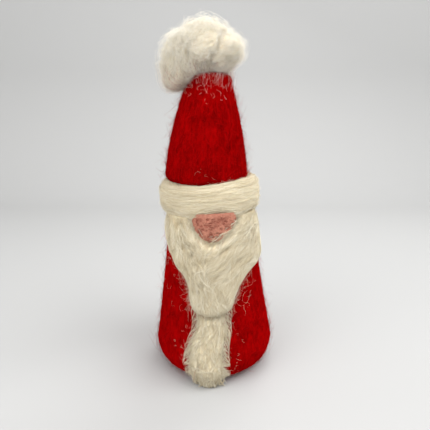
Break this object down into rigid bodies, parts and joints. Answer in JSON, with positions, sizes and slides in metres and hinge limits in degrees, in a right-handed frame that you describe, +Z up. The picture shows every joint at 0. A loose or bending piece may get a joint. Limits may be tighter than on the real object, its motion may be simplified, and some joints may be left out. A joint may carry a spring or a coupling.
{
  "type": "felted gnome figurine",
  "caption": "Standing needle-felted gnome: flared wool body, tall hat with wound brim and loose pompom, blunt nose, parted beard and a strip of trim down the coat.",
  "frame": {"origin": "centre of the flat foot, on the surface the figure stands on", "axes": "+Z up, the figure faces -Y, +X is to the right of someone looking at its face"},
  "size_m": [0.05, 0.053, 0.1416],
  "materials": {
    "red_wool": "dense needle felt with fine loose hairs",
    "white_wool": "combed cream roving",
    "pink_wool": "dense needle felt with needle pits",
    "core_wool": "undyed coarse wool"
  },
  "bodies": {
    "root": {"base_pad": "red_wool", "body_core": "core_wool", "body_coat": "red_wool", "hat_core": "core_wool", "hat_coat": "red_wool", "brim": "white_wool", "nose": "pink_wool", "beard_left_lock": "white_wool", "beard_right_lock": "white_wool", "beard_bib": "white_wool", "coat_trim": "white_wool", "pompom_left_tuft": "white_wool", "pompom_right_tuft": "white_wool", "pompom_top_tuft": "white_wool"}
  },
  "joints": []
}
